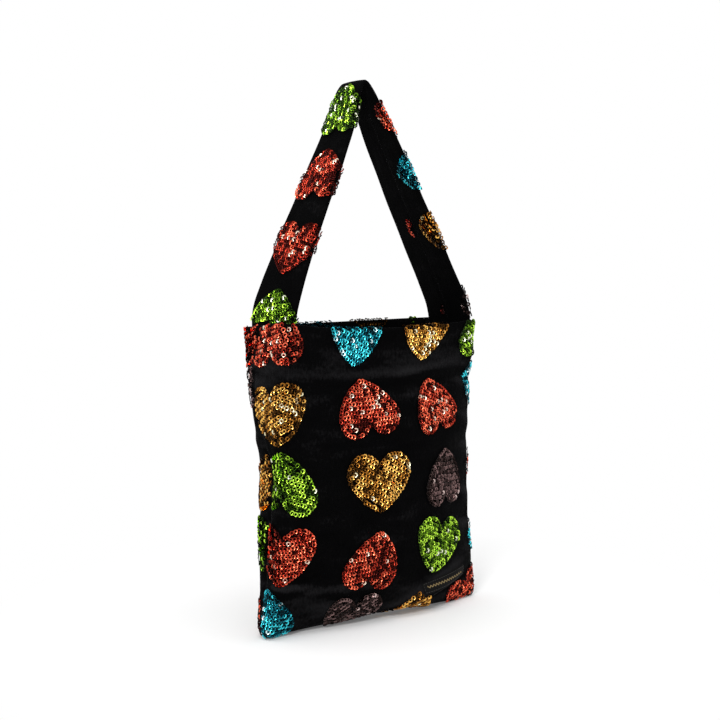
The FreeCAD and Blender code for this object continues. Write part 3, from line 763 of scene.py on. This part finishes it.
def panel(name, back):
    """One velvet panel: up from the bottom seam, over the mouth's edge, and down inside as the facing."""
    part = np.sin(np.linspace(-1, 1, PANEL_COLUMNS) * math.pi / 2 * CROWDING)
    part = part / math.sin(math.pi / 2 * CROWDING)
    levels = np.concatenate([np.linspace(0, 36, 17), np.linspace(36, TOP - 4, 100)[1:], [TOP - 2, TOP - 0.6]])
    rows = [(level, 0.0) for level in levels]
    rows += [(TOP + over, inset) for over, inset in ROLL]
    rows += [(level, RIM) for level in np.linspace(TOP - 3, TOP - FACING_DEPTH, FACING_ROWS)]
    length = np.concatenate([[0], np.cumsum(np.abs(np.diff(rows, axis=0)).sum(1))])
    level, inset = np.array(rows).T[..., None]
    part, length, v = np.broadcast_arrays(part, length[:, None], np.minimum(level, TOP))
    points = cloth(part, v, inset, back)
    points[..., 2] += np.maximum(level - TOP, 0)
    uv = np.stack([part * half_length(part, v, back), length], -1) + (BACK_MAP if back else 0)
    # the last argument is painted sheen: lighter where folds turn up, below the mouth, at the ends and low
    # down
    return mesh_piece(name, points, grid_faces(*part.shape), velvet, uv, painted_velvet_sheen(part, v, back))


front_velvet = panel("front_velvet", False)
back_velvet = panel("back_velvet", True)


# The lining's upper edge under the facing, its lower edge, its inset from the velvet, and its growing slack
LINING_DROP, LINING_FOOT, LINING_INSET = 39, 10, 4.6
LINING_SLACK, SLACK_GROWTH = 1.6, 40


def lining(name, back):
    """Satin inside, from under the facing to the bottom, with slack folds."""
    part, level = np.meshgrid(np.linspace(-1, 1, 73), np.linspace(TOP - LINING_DROP, LINING_FOOT, 60))
    points = cloth(part, level, LINING_INSET, back)
    slack = np.clip((TOP - LINING_DROP - level) / SLACK_GROWTH, 0, 1) * LINING_SLACK
    slack = slack * (1 + ripple(part * 9, level / 60, 51 + back))
    points[..., 1] += slack * np.clip((1 - np.abs(part)) * 12, 0, 1) * (-1 if back else 1)
    uv = np.stack([part * 120, level], -1)
    return mesh_piece(name, points, grid_faces(*part.shape, flip=True), satin, uv)


front_satin = lining("front_satin", False)
back_satin = lining("back_satin", True)


# Strap

def strap_band():
    """The folded velvet strap, with its sewn ends inside the mouth."""
    share, u = np.meshgrid(np.linspace(-1, 1, 57)[:-1], np.linspace(0, STRAP_LENGTH, 240))
    t = share * strap_round(u)
    rows, count = t.shape
    faces = grid_faces(rows, count, closed=True)
    faces += [tuple(range(count))[::-1], tuple(range((rows - 1) * count, rows * count))]
    return mesh_piece("strap_band", strap_point(t, u), faces, velvet, np.stack([t, u], -1) + STRAP_MAP)


strap_piece = strap_band()


# Sequins

def heart_outline():
    """A heart 68 mm wide, anticlockwise from its notch, as points about a millimetre apart."""

    def arc(a, b, radius, count):
        a, b = np.array(a, float), np.array(b, float)
        half = np.linalg.norm(b - a) / 2
        side = np.array([-(b - a)[1], (b - a)[0]]) / (2 * half)
        centre = (a + b) / 2 + side * math.sqrt(radius**2 - half**2)
        first = math.atan2(*(a - centre)[::-1])
        sweep = 2 * math.asin(half / radius)
        angle = first + np.linspace(0, sweep, count, endpoint=False)
        return centre + radius * np.stack([np.cos(angle), np.sin(angle)], -1)

    notch, left, tip, right = (0, 16), (-34, 7), (0, -28), (34, 7)
    lobe, flank, count = 17.8, 62, 50
    arcs = [(notch, left, lobe), (left, tip, flank), (tip, right, flank), (right, notch, lobe)]
    return np.concatenate([arc(*places, count) for places in arcs])


OUTLINE = heart_outline()


def inside_depth(points):
    """How deep points lie inside the heart; negative outside."""
    a, b = OUTLINE, np.roll(OUTLINE, -1, axis=0)
    d = points[:, None, :] - a[None]
    e = (b - a)[None]
    t = np.clip((d * e).sum(-1) / (e * e).sum(-1), 0, 1)
    near = np.sqrt(((d - t[..., None] * e) ** 2).sum(-1)).min(1)
    y = points[:, None, 1]
    crossing = (a[None, :, 1] > y) != (b[None, :, 1] > y)
    reach = a[None, :, 0] + (y - a[None, :, 1]) / np.where(crossing, e[..., 1], 1) * e[..., 0]
    odd = (crossing & (points[:, None, 0] < reach)).sum(1) % 2 == 1
    return np.where(odd, near, -near)


# Sequins in one heart: their pitch along a row and from row to row, how far in the edge row and the others
# lie, and how far these slant at most, in degrees
SEQUIN_PITCH, ROW_PITCH = 3.4, 4.1
EDGE_INSET, ROW_INSET = 1.8, 4.2
SLANT = 42


def heart_stitches(dice):
    """Places and sewing directions of one heart's sequins: a row round its edge, then slanting rows."""
    way = np.roll(OUTLINE, -1, axis=0) - np.roll(OUTLINE, 1, axis=0)
    ring = OUTLINE + unit(np.stack([-way[:, 1], way[:, 0]], -1)) * EDGE_INSET
    ring = ring[inside_depth(ring) > EDGE_INSET - 0.35]
    steps = run_length(ring)
    row = between(np.arange(dice.uniform(0, 2), steps[-1], SEQUIN_PITCH), steps, ring)
    spots = [np.concatenate([row, unit(np.gradient(row, axis=0))], 1)]
    slant = math.radians(dice.uniform(-SLANT, SLANT))
    along = np.array([math.cos(slant), math.sin(slant)])
    across = np.array([-math.sin(slant), math.cos(slant)])
    for k, level in enumerate(np.arange(-46, 46, ROW_PITCH)):
        at = np.arange(-50 + dice.uniform(0, 3), 50, SEQUIN_PITCH)
        row = at[:, None] * along + (level + 0.8 * np.sin(at / 14 + k / 5))[:, None] * across
        row = row[inside_depth(row) > ROW_INSET]
        spots.append(np.concatenate([row, np.repeat(along[None], len(row), 0)], 1))
    spots = np.concatenate(spots)
    spots[:, :2] += dice.normal(0, 0.15, (len(spots), 2))
    return spots


# One cupped sequin: rings of some radius and height, from its hole to its rim. The floor of the cup is
# painted shade, the tone of a sequin in shade, and the plain tone in a flashing one.
SEGMENTS = 12
PROFILE = [(0.75, 0.16), (0.95, 0.03), (1.2, 0.0), (1.62, 0.2), (2.12, 0.64)]
angles = np.arange(SEGMENTS) * 2 * math.pi / SEGMENTS
cup = np.array([(r * math.cos(a), r * math.sin(a), h) for r, h in PROFILE for a in angles])
cup_faces = np.array(grid_faces(len(PROFILE), SEGMENTS, closed=True, flip=True))
on_floor = np.arange(len(cup_faces)) < 2 * SEGMENTS
CUP_FLOOR_SHADE = np.array([0, 0, 0, 1])
FLASH = 3


def turned_about(vectors, axes, angle):
    """Vectors turned about unit axes by an angle each."""
    c, s = np.cos(angle)[:, None], np.sin(angle)[:, None]
    dot = (vectors * axes).sum(-1, keepdims=True)
    return vectors * c + np.cross(axes, vectors) * s + axes * dot * (1 - c)


# What sequins are sewn to: its points, where it holds them, their tilt in degrees towards the left (to the
# front round the left end), the hearts' share of the full height, their painted glints and their painted
# shade
Ground = namedtuple("Ground", "point holds slope tall flashes shade")
LEFT_END = -115  # hearts beyond it lie round the left end
# How far sequins differ in tilt and roll, in degrees, how far off the cloth they lie, and clouds of tone
TILT_SPREAD, ROLL_SPREAD = 6, 7
LEAST_LIFT, MOST_LIFT = 0.4, 0.7
CLOUD, CLOUD_SHARE = 12, 0.3


def lay_sequins(ground, hearts, seed):
    """Sequins of some hearts on a cloth: middles, the three axes of each, their tones and sizes."""
    dice = np.random.default_rng(seed)
    found = []
    for s0, v0, angle, width, skew in hearts:
        spots = heart_stitches(dice)
        c, k = math.cos(math.radians(angle)), math.sin(math.radians(angle))
        spots[:, 0] += skew * c * np.clip((10 - spots[:, 1]) / 38, 0, 1)
        spin = np.array([[c, k], [-k, c]])
        stretch = np.array([width, ground.tall])
        place = (spots[:, :2] * stretch) @ spin + (s0, v0)
        way = (spots[:, 2:] * stretch) @ spin
        way = way * np.where(way[:, :1] < 0, -1, 1)
        keep = ground.holds(place[:, 0], place[:, 1])
        s, v = place[keep].T
        way = way[keep]
        count = len(s)
        if not count:
            continue
        across, upward, outward = facing(ground.point, s, v, 0.6)
        ahead = across * way[:, :1] + upward * way[:, 1:]
        ahead = unit(ahead - outward * (ahead * outward).sum(-1, keepdims=True))
        aside = np.cross(outward, ahead)
        slope = -ground.slope if s0 < LEFT_END else ground.slope
        tilt = np.radians(dice.normal(slope, TILT_SPREAD, count))
        out, ahead = turned_about(outward, aside, -tilt), turned_about(ahead, aside, -tilt)
        roll = np.radians(dice.normal(0, ROLL_SPREAD, count))
        out, aside = turned_about(out, ahead, roll), turned_about(aside, ahead, roll)
        # a steep sequin stands further off, so that its low edge stays above the cloth
        clear = max(0.0, 1.1 * math.sin(math.radians(abs(slope))) - 0.17)
        lift = dice.uniform(LEAST_LIFT, MOST_LIFT, count) + clear
        middle = ground.point(s, v) + outward * lift[:, None]
        cloud = CLOUD_SHARE * ripple(s / CLOUD, v / CLOUD, seed + 3)
        # painted shade: the ground's shade pushes sequins into the darker tones, and its share of flashes
        # gives painted glints
        luck = np.clip(dice.uniform(0, 1, count) + cloud - np.interp(v, *ground.shade), 0, 0.999)
        tone = np.searchsorted(np.cumsum(TONE_SHARES), luck).clip(0, FLASH - 1)
        tone = np.where(dice.uniform(0, 1, count) < np.interp(v, *ground.flashes), FLASH, tone)
        size = dice.normal(1.0, 0.04, count)
        found.append((middle, ahead, aside, out, tone, size))
    return [np.concatenate(values) for values in zip(*found)]


def lay_apart(mesh, count):
    """A map for baking on which each sequin lies flat in a square of its own."""
    columns = math.ceil(math.sqrt(count))
    number = np.arange(count)
    square = np.stack([number % columns, number // columns], -1)
    flat = cup[:, :2] / (2 * PROFILE[-1][0]) * 0.86 + 0.5
    places = ((square[:, None] + flat[None]) / columns).reshape(-1, 2)
    add_map(mesh, "OFBake", places)


def sequin_piece(side, colour, ground, hearts, seed):
    """All sequins of one colour on one cloth, as a single piece."""
    middle, ahead, aside, out, tone, size = lay_sequins(ground, hearts, seed)
    shape = cup[None] * size[:, None, None]
    points = (
        middle[:, None]
        + shape[..., :1] * ahead[:, None]
        + shape[..., 1:2] * aside[:, None]
        + shape[..., 2:] * out[:, None]
    )
    firsts = np.arange(len(middle)) * len(cup)
    faces = (cup_faces[None] + firsts[:, None, None]).reshape(-1, 4)
    piece = mesh_piece(f"{side}_{colour}_sequins", points, faces.tolist(), foil[colour])
    # painted shade on each cup's floor
    tones = np.where(on_floor[None], CUP_FLOOR_SHADE[tone][:, None], tone[:, None])
    piece.data.polygons.foreach_set("material_index", tones.ravel().astype(np.int32))
    lay_apart(piece.data, len(middle))
    piece.data.update()
    return piece


# Up the cloth or along the strap, the share of painted glints and how far the others get painted shade: more
# glints towards the mouth, few of them and painted shade inside it, painted shade on the left arm and on the
# ends of the right one
BAG_FLASHES = ([0, 140, 220, TOP - 1, TOP + 1], [0.02, 0.025, 0.07, 0.08, 0.03])
BAG_SHADE = ([TOP - 1, TOP + 1], [0, 0.7])
STRAP_FLASHES = ([0], [0.055])
STRAP_SHADE = (summit + np.array([-1, 1, 50, 70, 160, 185]), [0.3, 0.36, 0.3, 0.05, 0.05, 0.6])
BAG_SLOPE, STRAP_SLOPE = 9.0, -24.0
STRAP_SEED = 300
sequins = {}
for side, hearts, back, seed in (("front", FRONT_HEARTS, False, 100), ("back", BACK_HEARTS, True, 200)):
    ground = Ground(*panel_point(back), BAG_SLOPE, 1.0, BAG_FLASHES, BAG_SHADE)
    for colour in SEQUIN_TONES:
        mine = [heart[1:] for heart in hearts if heart[0] == colour]
        sequins[side, colour] = sequin_piece(side, colour, ground, mine, seed + SEQUIN_SEEDS[colour])


def along_strap(arm, z):
    """How far along the strap a height lies on one arm."""
    half = walk <= summit if arm == "left" else walk >= summit
    order = np.argsort(strap_line[half, 2])
    return float(np.interp(z, strap_line[half, 2][order], walk[half][order]))


ground = Ground(strap_point, strap_holds, STRAP_SLOPE, 0.9, STRAP_FLASHES, STRAP_SHADE)
for k, colour in enumerate(SEQUIN_TONES):
    mine = []
    for heart_colour, arm, z, t, angle, width in STRAP_HEARTS:
        if heart_colour == colour:
            # along the right arm the strap runs down
            mine.append((t, along_strap(arm, z), angle + (180 if arm == "right" else 0), width, 0))
    sequins["strap", colour] = sequin_piece("strap", colour, ground, mine, STRAP_SEED + 7 * k)


# Label, stitches and bottom seam

def label_point(a, b, stand):
    """A place on the label, a mm along and b mm up it, standing off the velvet."""
    c, k = math.cos(LABEL_TURN), math.sin(LABEL_TURN)
    s, v = LABEL_AT[0] + a * c - b * k, LABEL_AT[1] + a * k + b * c
    point = panel_point(False)[0]
    outward = facing(point, s, v, 1.5)[2]
    return point(s, v) + outward * np.asarray(stand)[..., None]


def label():
    """The sewn label: a thin strip with turned edges."""
    a, b = np.meshgrid(np.linspace(0, LABEL_LENGTH, 57), np.linspace(0, LABEL_HEIGHT, 15))
    edge = np.minimum(np.minimum(a, LABEL_LENGTH - a), np.minimum(b, LABEL_HEIGHT - b))
    stand = 0.7 + 0.7 * np.clip(edge / 0.8, 0, 1) ** 0.5 + wave((0.12, 6, 6), a, b, 61)
    uv = np.stack([a, b], -1)
    return mesh_piece("label_strip", label_point(a, b, stand), grid_faces(*a.shape), woven, uv)


def runs(corners, count):
    """Points along the straight runs from corner to corner."""
    return np.concatenate([np.linspace(p, q, count, endpoint=False) for p, q in zip(corners, corners[1:])])


STITCH_RINGS, STITCH_SIDES = 7, 6


def stitch_row(points, outs, length, gap, radius, name, material):
    """A row of thread stitches along points on a cloth, each dipping into it at both ends."""
    steps = run_length(points)
    share = np.linspace(0, 1, STITCH_RINGS)
    bow = radius * (np.sin(share * math.pi) * 1.8 - 0.7)
    ring = np.arange(STITCH_SIDES) * 2 * math.pi / STITCH_SIDES
    tube_faces = grid_faces(STITCH_RINGS, STITCH_SIDES, closed=True)
    caps = np.arange(STITCH_RINGS * STITCH_SIDES).reshape(STITCH_RINGS, STITCH_SIDES)
    tube_faces += [tuple(caps[0][::-1].tolist()), tuple(caps[-1].tolist())]
    verts, faces = [], []
    for begin in np.arange(0, steps[-1] - length, length + gap):
        at = begin + share * length
        out = between(at, steps, outs)
        middle = between(at, steps, points) + out * bow[:, None]
        aside = np.cross(unit(np.gradient(middle, axis=0)), out)
        first = len(verts) * caps.size
        tube = middle[:, None] + radius * (
            np.cos(ring)[None, :, None] * aside[:, None] + np.sin(ring)[None, :, None] * out[:, None]
        )
        verts.append(tube)
        faces += [tuple(first + i for i in face) for face in tube_faces]
    return mesh_piece(name, np.concatenate(verts), faces, material)


LABEL_SEAM = 1.3  # from the label's edge to its stitches
LABEL_TOP = 1.42  # how far the label's face stands off the velvet


def label_seam():
    """Stitches round the label."""
    low, right, high = LABEL_SEAM, LABEL_LENGTH - LABEL_SEAM, LABEL_HEIGHT - LABEL_SEAM
    a, b = runs([(low, low), (right, low), (right, high), (low, high), (low, low)], 60).T
    on_label = label_point(a, b, np.full(len(a), LABEL_TOP))
    outward = label_point(a, b, np.full(len(a), LABEL_TOP + 1)) - on_label
    return stitch_row(on_label, outward, 2.0, 0.9, 0.24, "label_stitches", dark_thread)


label_piece = label()
label_stitches = label_seam()

# The box on each strap end, in mm from its middle and from the end
BOX_HALF, BOX_LOW, BOX_HIGH = 16.0, 8.0, 31.0


def box_stitches(name, arm):
    """Box stitching with its cross through a strap end, seen inside the mouth."""
    one, two = (-BOX_HALF, BOX_LOW), (BOX_HALF, BOX_LOW)
    three, four = (BOX_HALF, BOX_HIGH), (-BOX_HALF, BOX_HIGH)
    across, up = runs([one, two, three, four, one, three, two, four], 50).T
    u = up if arm == "left" else STRAP_LENGTH - up
    seam = strap_round(u)
    t = np.where(across > 0, seam - across, -seam - across)
    outward = facing(strap_point, t, u, 0.5)[2]
    return stitch_row(strap_point(t, u) + outward * 0.15, outward, 2.6, 1.1, 0.3, name, black_thread)


left_stitches = box_stitches("left_box_stitches", "left")
right_stitches = box_stitches("right_box_stitches", "right")

WELT_SIDES, WELT_WIDE, WELT_TALL = 8, 1.1, 0.75


def bottom_seam():
    """The narrow welt where both panels meet under the bag."""
    part = np.linspace(-1, 1, 120)
    seam = cloth(part, np.full_like(part, 0.0), 0.0, False)
    ring = np.arange(WELT_SIDES) * 2 * math.pi / WELT_SIDES
    around = np.stack([0 * ring, WELT_WIDE * np.cos(ring), WELT_TALL * np.sin(ring) + WELT_TALL], -1)
    points = seam[:, None] * np.array([1, 1, 0.9]) + around[None]
    uv = np.stack(np.meshgrid(ring * 1.5, part * 120), -1)
    return mesh_piece("bottom_welt", points, grid_faces(len(part), WELT_SIDES, closed=True), velvet, uv)


welt = bottom_seam()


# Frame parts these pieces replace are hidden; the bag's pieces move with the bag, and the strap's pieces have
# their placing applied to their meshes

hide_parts("front_panel", "front_facing", "front_interlining", "front_side_allowances")
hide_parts("back_panel", "back_facing", "back_interlining", "back_side_allowances")
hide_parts("front_lining")
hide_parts("back_lining")
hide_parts("bottom_seam_tape")
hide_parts("woven_label")
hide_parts("label_stitching")
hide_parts("left_strap_stitching")
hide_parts("right_strap_stitching")
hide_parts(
    "strap_sleeve",
    "strap_core",
    "left_strap_root",
    "right_strap_root",
    "left_strap_tab",
    "right_strap_tab",
)
for (place, colour), piece in sequins.items():
    node = f"{place}_{colour}_hearts"
    if node in frame["nodes"]:
        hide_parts(node)

bag_pieces = [front_velvet, back_velvet, front_satin, back_satin, welt, label_piece, label_stitches]
bag_pieces += [left_stitches, right_stitches]
bag_pieces += [piece for (place, _), piece in sequins.items() if place != "strap"]
for piece in bag_pieces:
    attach(piece, "bag")
strap_pieces = [strap_piece] + [piece for (place, _), piece in sequins.items() if place == "strap"]
for piece in strap_pieces:
    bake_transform(piece)


# Floor, light and camera

def floor():
    """A pale floor that keeps the bag's shadow near it and runs out to white."""
    material, tree = new_material("white_floor")
    tree.nodes.clear()
    path = add(tree, "LightPath")
    seen = reckon("MAXIMUM", path["Is Camera Ray"], path["Is Glossy Ray"])
    plain = add(tree, "BsdfDiffuse", {"Color": (0.82, 0.82, 0.82, 1)})[0]
    glow = add(tree, "Emission", {"Strength": reckon("MULTIPLY", seen, 0.1)})[0]
    near = add(tree, "AddShader", {0: plain, 1: glow})[0]
    away = add(tree, "VectorMath", {0: add(tree, "TexCoord")["Object"]}, operation="LENGTH")["Value"]
    fade = add(tree, "MapRange", {"Value": away, "From Min": 0.14, "From Max": 0.36})[0]
    far = add(tree, "Emission")[0]
    mixed = add(tree, "MixShader", {"Fac": reckon("MULTIPLY", fade, seen), 1: near, 2: far})[0]
    add(tree, "OutputMaterial", {"Surface": mixed})
    corners = [(-6000, -6000, 0), (6000, -6000, 0), (6000, 6000, 0), (-6000, 6000, 0)]
    piece = mesh_piece("studio_floor", corners, [(0, 1, 2, 3)], material)


def area_lamp(name, place, target, size, power):
    """A soft lamp that looks at a target."""
    lamp = bpy.data.lights.new(name, "AREA")
    lamp.shape = "RECTANGLE"
    lamp.size, lamp.size_y = size
    lamp.energy = power
    holder = new_object(name, lamp)
    holder.location = place
    holder.rotation_euler = (Vector(target) - Vector(place)).to_track_quat("-Z", "Y").to_euler()


def world():
    """Soft even light, with a white backdrop that darkens upwards for what the camera and the gloss see."""
    made = bpy.data.worlds.new("studio")
    made.use_nodes = True
    tree = made.node_tree
    tree.nodes.clear()
    path = add(tree, "LightPath")
    seen = reckon("MAXIMUM", path["Is Camera Ray"], path["Is Transmission Ray"])
    seen = reckon("MAXIMUM", seen, path["Is Glossy Ray"])
    upward = add(tree, "SeparateXYZ", {"Vector": add(tree, "TexCoord")["Generated"]})["Z"]
    sky = ramp(upward, [(0.25, (1, 1, 1)), (0.5, (0.06, 0.06, 0.06))])
    soft = add(tree, "Background", {"Color": (1, 1, 1, 1), "Strength": 0.35})[0]
    white = add(tree, "Background", {"Color": sky, "Strength": 1.0})[0]
    mixed = add(tree, "MixShader", {"Fac": seen, 1: soft, 2: white})[0]
    add(tree, "OutputWorld", {"Surface": mixed})
    scene.world = made


floor()
world()
area_lamp("key_lamp", (-1.5, -1.2, 1.5), (0, 0, 0.25), (0.45, 0.45), 27)
area_lamp("top_lamp", (0.0, -0.1, 2.1), (0, 0, 0.2), (1.6, 1.6), 31)
area_lamp("side_lamp", (1.7, -0.9, 0.9), (0, 0, 0.25), (0.4, 0.6), 2.5)

camera = bpy.data.cameras.new("photo_camera")
camera.sensor_width = 36
camera.lens = 59.125
camera.clip_start, camera.clip_end = 0.01, 100
holder = new_object("photo_camera", camera)
holder.location = (-0.6470, -0.8699, 0.3289)
holder.rotation_euler = (math.radians(90 - 4.7), 0, math.radians(-36))
scene.camera = holder
scene.view_settings.view_transform = "Standard"


bpy.context.view_layer.update()
